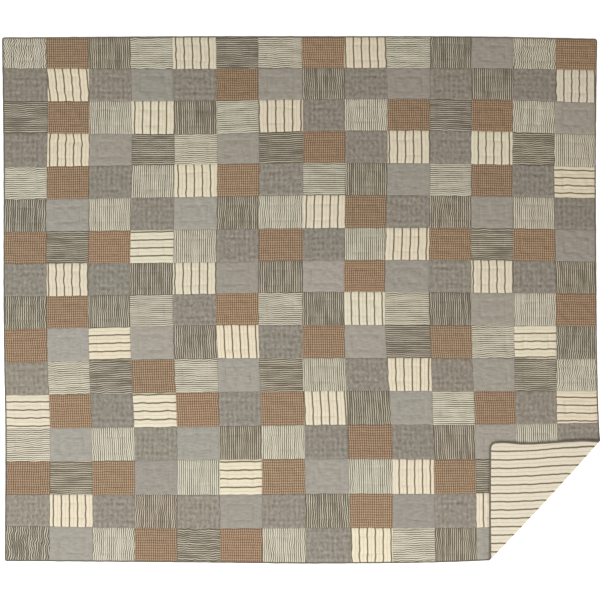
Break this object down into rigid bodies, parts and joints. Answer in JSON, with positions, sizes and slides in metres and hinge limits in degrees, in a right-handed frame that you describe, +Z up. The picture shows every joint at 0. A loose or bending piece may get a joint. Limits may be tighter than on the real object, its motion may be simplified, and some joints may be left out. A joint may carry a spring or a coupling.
{
  "type": "patchwork quilt",
  "caption": "Wide patchwork bed quilt in striped, checked and plain cloths, laid face up with one corner folded over to show its striped backing; narrow dark binding.",
  "frame": {"origin": "on the surface the quilt lies on, under the middle of the laid quilt's bounding box", "axes": "+Z up out of the quilt's face, +X to the quilt's right across its rows, +Y towards its head; the folded corner is at +X, -Y"},
  "size_m": [2.6874, 2.3734, 0.0212],
  "materials": {
    "patchwork": "sewn patches of washed cotton: cream ticking, pale and dark fine stripes, small rust check, plain grey and dark grey",
    "backing_ticking": "matt cream cotton ticking with thin khaki-brown stripes along the quilt's length",
    "binding_cloth": "matt dark grey-brown cotton"
  },
  "bodies": {
    "root": {"quilt_top": "patchwork", "backing": "backing_ticking", "binding_head": "binding_cloth", "binding_foot": "binding_cloth", "binding_left": "binding_cloth", "binding_right": "binding_cloth"}
  },
  "joints": []
}
